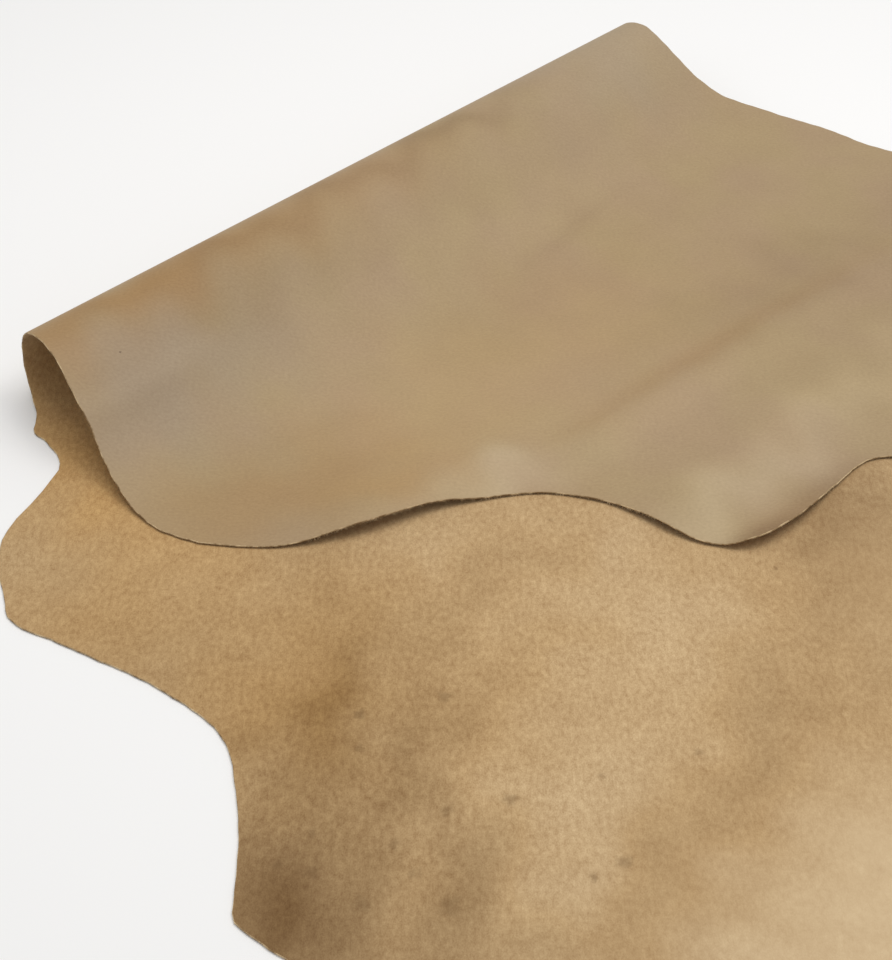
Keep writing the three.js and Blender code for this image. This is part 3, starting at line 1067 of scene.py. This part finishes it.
@dataclass
class LiningHide:
    """One natural hide with a cut edge all round, lying folded over once. Lengths in millimetres."""

    leather: float = 1.2
    layer_gap: float = 0.8
    fold_from: float = -130.0
    fold_to: float = 90.0
    far_reach: float = 590.0
    rear_reach: float = 37.3
    floor_lines: int = 96
    fold_lines: int = 60
    flap_lines: int = 72
    pieces: int = 200
    edge_bulge: float = 0.42
    edge_round: float = 0.5
    ragged: float = 0.32
    normal_step: float = 0.5
    smooth_angle: float = 28.0

    near_rows: ClassVar[list[Row]] = [
        (-619, -325), (-590, -333), (-565, -336), (-544, -339), (-526, -339), (-518, -332), (-507, -320),
        (-483, -297), (-460, -279), (-442, -266), (-427, -259), (-407, -256), (-383, -257), (-355, -261),
        (-322, -269), (-288, -278), (-267, -284), (-253, -284), (-238, -276), (-221, -267), (-209, -259),
        (-191, -243), (-181, -225), (-174, -204), (-165, -184), (-160, -174), (-154, -169), (-147, -165),
        (-137, -163), (-125, -161), (-114, -161), (-106, -153), (-97, -146), (-88, -142), (-78, -138),
        (-61, -134), (-44, -133), (-20, -136), (0, -139), (20, -142), (51, -148), (80, -154), (95, -158),
        (112, -162), (135, -167), (158, -168.5), (176, -165.5), (195, -158.5),
    ]
    far_rows: ClassVar[list[Row]] = [
        (-509, 510), (-409, 545), (-309, 552), (-209, 545), (-150, 540), (-100, 536), (-50, 531), (-16, 526),
        (0, 524), (19, 521), (34, 522), (51, 524), (67, 527), (81, 532), (94, 538), (104, 546), (117, 556),
        (134, 566), (158, 575), (183, 579), (222, 580), (249, 585), (320, 590),
    ]
    floor_front_rows: ClassVar[list[Row]] = [
        (-619, -325), (-679, -300), (-739, -250), (-799, -180), (-839, -90), (-844, 0), (-814, 120),
        (-754, 240), (-674, 350), (-594, 440), (-509, 510),
    ]
    flap_front_rows: ClassVar[list[Row]] = [
        (195, -158.5), (205, -151.5), (214, -145), (222.3, -138.2), (229.6, -131.7), (236.6, -124.4),
        (243.5, -115.4), (249.3, -106.3), (254.5, -96.9), (259.8, -88.3), (264.2, -79), (268.5, -69.4),
        (272.2, -59.3), (276.9, -45.3), (282, -31.6), (288.1, -18.8), (299.2, -1.3), (310.5, 16.2),
        (323.6, 31.8), (339.8, 43.8), (358.1, 53.2), (371.8, 57.4), (386.8, 59.6), (402.6, 60.7),
        (418, 62.3), (431.8, 65.8), (442.9, 71.8), (453.6, 79.3), (461.2, 90), (465, 107.1), (466.4, 127.3),
        (465, 153.9), (463.7, 179.8), (463, 204), (465.5, 213.5), (469.2, 220.5), (475, 226.3), (492, 245),
        (513, 296), (525, 370), (515, 440), (487, 505), (445, 550), (385, 578), (320, 590),
    ]
    waves: ClassVar[list[Wave]] = [
        Wave("raised lip", (-108, 270), (60, 273), behind=48, ahead=21, rise=8.4, fade_in=30, fade_out=70),
        Wave("broad rise", (78, 318), (480, 345), behind=90, ahead=35, rise=5, fade_in=50, fade_out=120),
        Wave("crease ridge", (88, 309), (435, 349), behind=7, ahead=30, rise=2.6, fade_in=25, fade_out=80),
        Wave("front roll", (62, 403), (470, 394), behind=30, ahead=24, rise=9, fade_in=40, fade_out=90),
        Wave("turned-up edge", (72, 464), (170, 494), behind=22, ahead=30, rise=8.5, fade_in=12, fade_out=45),
        Wave("far lip", (225, 492), (262, 506), behind=20, ahead=30, rise=5, fade_in=20, fade_out=30),
        Wave("slope crease", (235, 150), (385, 137), behind=9, ahead=14, rise=1.5, fade_in=40, fade_out=40),
        Wave("near crease", (-160, 66), (-40, 68), behind=10, ahead=16, rise=2.4, fade_in=5, fade_out=50),
    ]

    def __post_init__(self) -> None:
        """Draws the section and the outline, and finds where the fold lies in the frame."""
        self.section = FoldSection(self.leather / 2, self.leather * 1.5 + self.layer_gap)
        self.near = CutLine(self.near_rows)
        self.far = CutLine(self.far_rows)
        self.floor_front = CutLine(self.floor_front_rows)
        self.flap_front = CutLine(self.flap_front_rows)
        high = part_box(HIDE_NODE)[1]
        back = high[1] / MM - self.rear_reach - self.leather / 2
        self.shift = np.array([high[0] / MM - self.far_reach, back, 0.0])

    def wave_height(self, along: np.ndarray, run: np.ndarray) -> np.ndarray:
        """Adds up the soft ridges.

        Args:
            along: places along the fold.
            run: places over the fold.

        Returns:
            Heights out of the grain side.
        """
        height = np.zeros(np.broadcast(along, run).shape)
        for wave in self.waves:
            way = np.subtract(wave.end, wave.start)
            length = math.hypot(*way)
            way = way / length
            down = (along - wave.start[0]) * way[0] + (run - wave.start[1]) * way[1]
            beside = (run - wave.start[1]) * way[0] - (along - wave.start[0]) * way[1]
            half = np.where(beside < 0.0, wave.behind, wave.ahead)
            starts = smooth_step(-wave.fade_in, wave.fade_in, down)
            stops = smooth_step(-wave.fade_out, wave.fade_out, length - down)
            height = height + wave.rise * np.exp(-((beside / half) ** 2)) * starts * stops
        return height

    def middle(self, along: np.ndarray, run: np.ndarray) -> np.ndarray:
        """Gives the middle of the leather in the frame.

        Args:
            along: places along the fold.
            run: places over the fold.

        Returns:
            Points in millimetres, in the frame of the part.
        """
        back, up = self.section.at(run)
        back_on, up_on = self.section.at(run + self.normal_step)
        back_off, up_off = self.section.at(run - self.normal_step)
        out = unit(np.stack([up_on - up_off, back_off - back_on], axis=-1))
        height = self.wave_height(along, run)
        point = np.stack([along, back + out[..., 0] * height, up + out[..., 1] * height], axis=-1)
        return point + self.shift

    def flesh_out(self, along: np.ndarray, run: np.ndarray) -> np.ndarray:
        """Gives the direction straight out of the flesh side.

        Args:
            along: places along the fold.
            run: places over the fold.

        Returns:
            The direction at each place.
        """
        step = self.normal_step
        sideways = self.middle(along + step, run) - self.middle(along - step, run)
        onwards = self.middle(along, run + step) - self.middle(along, run - step)
        return unit(np.cross(sideways, onwards))

    def raggedness(self, distance: np.ndarray) -> np.ndarray:
        """Gives how far a hand-cut edge wanders in and out.

        Args:
            distance: distances along the edge.

        Returns:
            The wander at each one.
        """
        quick = np.sin(distance / 2.3 + 0.7)
        slow = 0.8 * np.sin(distance / 4.1 + 2.1) + 0.9 * np.sin(distance / 9.7)
        return self.ragged * (quick + slow) / 1.6

    def cross_lines(self) -> np.ndarray:
        """Lays lines across the hide, from its floor front to its flap front.

        Returns:
            Places (along, run), one row for each line.
        """
        across = np.linspace(0.0, 1.0, self.pieces + 1)
        lines = []
        for part, count in (
            (Part.FLOOR, self.floor_lines),
            (Part.FOLD, self.fold_lines),
            (Part.FLAP, self.flap_lines),
        ):
            last = count if part is not Part.FLAP else count + 1
            for i in range(last):
                lines.append(self.cross_line(part, i / count, across))
        return np.stack(lines)

    def cross_line(self, part: Part, share: float, across: np.ndarray) -> np.ndarray:
        """Lays one line from the near edge to the far edge.

        Args:
            part: the part of the hide that the line crosses.
            share: how far through the part it is, 0 to 1.
            across: shares of the way from the near edge to the far edge.

        Returns:
            Places (along, run) on the line.
        """
        fold_run = self.fold_from + (self.fold_to - self.fold_from) * share
        pull, base, end, front = {
            Part.FLOOR: (1.0 - share, self.fold_from, 0, self.floor_front),
            Part.FOLD: (0.0, fold_run, 0, self.floor_front),
            Part.FLAP: (share, self.fold_to, -1, self.flap_front),
        }[part]
        run_near = base + (self.near_rows[end][0] - base) * pull
        run_far = base + (self.far_rows[end][0] - base) * pull
        near = np.array([self.near.along_at(run_near) + self.raggedness(run_near), run_near])
        far = np.array([self.far.along_at(run_far) + self.raggedness(run_far), run_far])
        line = near + (far - near) * across[:, None]
        edge = front.at(across)
        chord = edge[0] + (edge[-1] - edge[0]) * across[:, None]
        wander = np.zeros_like(edge)
        wander[:, 1] = self.raggedness(edge[:, 0]) * np.sin(np.pi * across)
        return line + pull * (edge - chord + wander)

    def build(self) -> bpy.types.Object:
        """Makes the hide as one closed sheet with a rounded cut edge.

        Returns:
            The hide, with a slot for each of its faces.
        """
        places = self.cross_lines()
        centre = self.middle(places[..., 0], places[..., 1])
        out = self.flesh_out(places[..., 0], places[..., 1])
        rows, columns = places.shape[:2]
        border = self.border(rows, columns)
        half = out * self.leather / 2
        upper, lower = self.rounded_edge(centre[border], out[border])
        sides = [(centre + half).reshape(-1, 3), (centre - half).reshape(-1, 3)]
        points = np.concatenate([*sides, upper, lower])
        quads, slots = self.quads(rows, columns, border)
        mesh = bpy.data.meshes.new("lining_hide_sheet")
        mesh.from_pydata((points * MM).tolist(), [], quads.tolist())
        mesh.polygons.foreach_set("material_index", slots)
        on_leather = np.concatenate([places.reshape(-1, 2)] * 2 + [places[border]] * 2)
        self.map_leather(mesh, on_leather)
        StainsAndPaintedLight().mark(mesh, on_leather)
        hide = put("lining_hide_sheet", mesh)
        smooth_by_angle(hide, self.smooth_angle)
        return hide

    def rounded_edge(self, ring: np.ndarray, normal: np.ndarray) -> tuple[np.ndarray, np.ndarray]:
        """Rounds the cut edge with two rings of points just outside the border.

        Args:
            ring: the border's points, in the middle of the leather.
            normal: the direction out of the flesh side at each of them.

        Returns:
            The ring by the flesh side and the ring by the grain side.
        """
        tangent = np.roll(ring, -1, axis=0) - np.roll(ring, 1, axis=0)
        bulge = unit(np.cross(tangent, normal)) * self.edge_bulge
        reach = normal * self.leather / 2 * self.edge_round
        return ring + reach + bulge, ring - reach + bulge

    @staticmethod
    def quads(
        rows: int, columns: int, border: tuple[np.ndarray, np.ndarray]
    ) -> tuple[np.ndarray, list[Face]]:
        """Joins the points of both sides and of the rounded edge into faces.

        Args:
            rows: how many lines cross the sheet.
            columns: how many points each line has.
            border: the line and the point on it of each border point.

        Returns:
            The faces' points, and each face's material slot.
        """
        flesh = np.arange(rows * columns).reshape(rows, columns)
        grain = flesh + rows * columns
        flesh_quads = np.stack([flesh[:-1, :-1], flesh[:-1, 1:], flesh[1:, 1:], flesh[1:, :-1]], -1)
        grain_quads = np.stack([grain[:-1, :-1], grain[1:, :-1], grain[1:, 1:], grain[:-1, 1:]], -1)
        sides = [flesh_quads.reshape(-1, 4), grain_quads.reshape(-1, 4)]
        count = len(border[0])
        upper = 2 * rows * columns + np.arange(count)
        rings = [flesh[border], upper, upper + count, grain[border]]
        edge = [np.stack([a, b, np.roll(b, -1), np.roll(a, -1)], -1) for a, b in zip(rings[:-1], rings[1:])]
        slots = [Face.FLESH] * len(sides[0]) + [Face.GRAIN] * len(sides[1]) + [Face.CUT] * count * len(edge)
        return np.concatenate([*sides, *edge]), slots

    @staticmethod
    def border(rows: int, columns: int) -> tuple[np.ndarray, np.ndarray]:
        """Walks round the sheet's border.

        Args:
            rows: how many lines cross the sheet.
            columns: how many points each line has.

        Returns:
            The line and the point on it of each border point, in order.
        """
        last_row, last_column = rows - 1, columns - 1
        up, down = np.arange(last_row), np.arange(last_row, 0, -1)
        right, left = np.arange(last_column), np.arange(last_column, 0, -1)
        lines = [np.zeros_like(right), up, np.full_like(right, last_row), down]
        points = [right, np.full_like(up, last_column), left, np.zeros_like(up)]
        return np.concatenate(lines), np.concatenate(points)

    @staticmethod
    def map_leather(mesh: bpy.types.Mesh, on_leather: np.ndarray) -> None:
        """Writes each point's place on the leather as a UV map in metres.

        Args:
            mesh: the sheet's mesh.
            on_leather: the place (along, run) of each of its points.
        """
        corners = np.empty(len(mesh.loops), dtype=np.int32)
        mesh.loops.foreach_get("vertex_index", corners)
        uv = mesh.uv_layers.new(name=LEATHER_MAP)
        uv.data.foreach_set("uv", (on_leather[corners] * MM).astype(np.float32).ravel())

    def dress(self) -> list[bpy.types.Object]:
        """Makes the hide and its fibres and gives them their finishes.

        Returns:
            The finished pieces.
        """
        effects = LeatherEffects()
        cut = CutFinish().material(effects)
        sheet = self.build()
        finishes = {
            Face.FLESH: FleshFinish().material(effects),
            Face.GRAIN: GrainFinish().material(effects),
            Face.CUT: cut,
        }
        for face in Face:
            sheet.data.materials.append(finishes[face])
        fibres = EdgeFibres().build(self)
        fibres.data.materials.append(cut)
        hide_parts(HIDE_NODE)
        for piece in (sheet, fibres):
            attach(piece, ROOT_BODY)
        return [sheet, fibres]


@dataclass(frozen=True)
class EdgeFibres:
    """The loose fibres of the cut edge, as one mesh of slim closed spikes. Lengths in millimetres."""

    seed: int = 11
    look_aside: float = 0.002
    root_depth: float = 0.15
    root_spread: float = 0.9
    lean_spread: float = 0.55
    sway_spread: float = 0.7
    shortest_share: float = 0.25
    floor_clear: float = 0.05
    sides: int = 3

    stretches: ClassVar[list[Fuzz]] = [
        Fuzz(Edge.FLAP_FRONT, 0.00, 0.10, 0.5, 1.2, thick=0.3, droop=0.6),
        Fuzz(Edge.FLAP_FRONT, 0.07, 0.31, 0.4, 3.0, thick=0.62, droop=1.2),
        Fuzz(Edge.FLAP_FRONT, 0.31, 1.00, 0.4, 1.6, thick=0.36, droop=0.7),
        Fuzz(Edge.NEAR, 0.00, 0.66, 1.6, 0.9),
        Fuzz(Edge.NEAR, 0.66, 0.84, 0.7, 1.6),
        Fuzz(Edge.NEAR, 0.84, 1.00, 0.4, 1.5, thick=0.36, droop=0.7),
        Fuzz(Edge.FAR, 0.00, 1.00, 1.6, 0.9),
        Fuzz(Edge.FLOOR_FRONT, 0.00, 1.00, 1.8, 0.9),
    ]

    def build(self, hide: LiningHide) -> bpy.types.Object:
        """Makes all the fibres.

        Args:
            hide: the hide that they grow on.

        Returns:
            The fibres.
        """
        chance = np.random.default_rng(self.seed)
        roots, tips, thick = [], [], []
        for fuzz in self.stretches:
            root, tip = self.strew(hide, fuzz, chance)
            roots.append(root)
            tips.append(tip)
            thick.append(np.full((len(root), 1), fuzz.thick))
        return self.spikes(np.concatenate(roots), np.concatenate(tips), np.concatenate(thick))

    def strew(
        self, hide: LiningHide, fuzz: Fuzz, chance: np.random.Generator
    ) -> tuple[np.ndarray, np.ndarray]:
        """Strews fibres along one stretch of the cut edge.

        Args:
            hide: the hide that they grow on.
            fuzz: the stretch and its fibres.
            chance: the random numbers.

        Returns:
            The fibres' roots and tips.
        """
        line, side = {
            Edge.NEAR: (hide.near, 1.0),
            Edge.FAR: (hide.far, -1.0),
            Edge.FLOOR_FRONT: (hide.floor_front, -1.0),
            Edge.FLAP_FRONT: (hide.flap_front, 1.0),
        }[fuzz.edge]
        count = int(line.length * (fuzz.end - fuzz.start) / fuzz.pitch)
        share = fuzz.start + (fuzz.end - fuzz.start) * chance.random(count)
        place = line.at(share)
        ahead = line.at(np.minimum(share + self.look_aside, 1.0))
        way = unit(ahead - line.at(np.maximum(share - self.look_aside, 0.0)))
        out_leather = side * np.stack([-way[:, 1], way[:, 0]], axis=-1)
        middle = hide.middle(place[:, 0], place[:, 1])
        normal = hide.flesh_out(place[:, 0], place[:, 1])
        outward = unit(hide.middle(*(place + out_leather).T) - middle)
        root = middle + normal * (chance.random((count, 1)) - 0.5) * hide.leather * self.root_spread
        lean = chance.normal(fuzz.droop, self.lean_spread, (count, 1))
        sway = chance.normal(0.0, self.sway_spread, (count, 1))
        longer = (1.0 - self.shortest_share) * chance.random((count, 1)) ** 2
        heading = unit(outward + normal * lean + np.cross(outward, normal) * sway)
        reach = fuzz.longest * (self.shortest_share + longer)
        return root - outward * self.root_depth, root + heading * reach

    def spikes(self, root: np.ndarray, tip: np.ndarray, thick: np.ndarray) -> bpy.types.Object:
        """Makes a slim closed three-sided spike from each root to its tip, clear of the floor.

        Args:
            root: the middles of the spikes' feet.
            tip: the spikes' tips.
            thick: how thick each one is at its foot.

        Returns:
            All the spikes as one piece.
        """
        root[:, 2] = np.maximum(root[:, 2], thick[:, 0])
        tip[:, 2] = np.maximum(tip[:, 2], self.floor_clear)
        way = unit(tip - root)
        slanting = np.array([0.31, 0.17, 0.93])
        side = unit(np.cross(way, slanting))
        other = np.cross(way, side)
        feet = []
        for corner in range(self.sides):
            turn = 2 * math.pi * corner / self.sides
            feet.append(root + (side * math.cos(turn) + other * math.sin(turn)) * thick / 2)
        points = np.stack([*feet, tip], axis=1).reshape(-1, 3)
        start = (self.sides + 1) * np.arange(len(root))[:, None]
        faces = [start + np.array(f) for f in ((0, 1, 3), (1, 2, 3), (2, 0, 3), (0, 2, 1))]
        mesh = bpy.data.meshes.new("cut_edge_fibres")
        mesh.from_pydata((points * MM).tolist(), [], np.concatenate(faces).tolist())
        return put("cut_edge_fibres", mesh)


@dataclass(frozen=True)
class Panel:
    """A square soft light that looks at the middle of the hide. Lengths in metres, power in watts."""

    name: str
    spot: tuple[float, float, float]
    size: float
    power: float
    tint: Colour = (1.0, 0.98, 0.95)

    def hang(self) -> None:
        """Hangs the light in its place."""
        data = bpy.data.lights.new(self.name, "AREA")
        data.shape = "SQUARE"
        data.size = self.size
        data.energy = self.power
        data.color = self.tint
        light = put(self.name, data)
        light.location = self.spot
        light.rotation_euler = (-Vector(self.spot)).to_track_quat("-Z", "Y").to_euler()


@dataclass
class Studio:
    """The pale floor, the soft lights and the camera. Lengths in metres, angles in degrees."""

    floor_size: float = 14.0
    floor_drop: float = 0.0004
    floor_tint: Colour = (0.93, 0.93, 0.93)
    floor_roughness: float = 0.9
    floor_shine: float = 0.1
    room_tint: Colour = (1.0, 1.0, 1.0)
    room_light: float = 0.55
    frame_height_view: float = 30.0
    pitch: float = 40.0
    bearing: float = 46.66
    eye: tuple[float, float, float] = (-0.8037, -0.5418, 0.783)

    panels: ClassVar[list[Panel]] = [
        Panel("high_panel", (0.75, -0.55, 1.9), 1.2, 12.5),
        Panel("back_panel", (0.1, 0.5, 2.0), 1.2, 13.0),
    ]

    def build(self) -> None:
        """Makes the stage."""
        self.add_floor()
        self.add_lights()
        self.add_camera()

    def add_floor(self) -> None:
        """Lays the floor just under the hide."""
        bpy.ops.mesh.primitive_plane_add(size=self.floor_size, location=(0.0, 0.0, -self.floor_drop))
        floor = bpy.context.active_object
        floor.name = "pale_floor"
        material = bpy.data.materials.new("pale_floor")
        material.use_nodes = True
        shader = material.node_tree.nodes["Principled BSDF"]
        looks = {"Base_Color": self.floor_tint, "Roughness": self.floor_roughness}
        Sockets(material.node_tree).fill_all(shader, Specular_IOR_Level=self.floor_shine, **looks)
        floor.data.materials.append(material)

    def add_lights(self) -> None:
        """Hangs the lights and sets the pale surroundings."""
        for panel in self.panels:
            panel.hang()
        world = bpy.data.worlds.new("pale_room")
        world.use_nodes = True
        surroundings = world.node_tree.nodes["Background"]
        surroundings.inputs["Color"].default_value = (*self.room_tint, 1.0)
        surroundings.inputs["Strength"].default_value = self.room_light
        bpy.context.scene.world = world
        bpy.context.scene.view_settings.view_transform = "Standard"

    def add_camera(self) -> None:
        """Sets the camera where the photograph was taken from."""
        data = bpy.data.cameras.new("camera")
        data.sensor_fit = "VERTICAL"
        data.sensor_height = 36.0
        data.lens = data.sensor_height / 2 / math.tan(math.radians(self.frame_height_view / 2))
        camera = put("camera", data)
        camera.location = self.eye
        camera.rotation_euler = (math.radians(90 - self.pitch), 0.0, -math.radians(self.bearing))
        bpy.context.scene.camera = camera


def main() -> None:
    """Builds the hide and the studio, and notes the sizes."""
    logging.basicConfig(level=logging.INFO, format="%(name)s: %(message)s")
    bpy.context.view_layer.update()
    bpy.ops.object.select_all(action="DESELECT")
    for piece in LiningHide().dress():
        log.info("%s: %d faces", piece.name, len(piece.data.polygons))
    Studio().build()


if __name__ == "__main__":
    main()
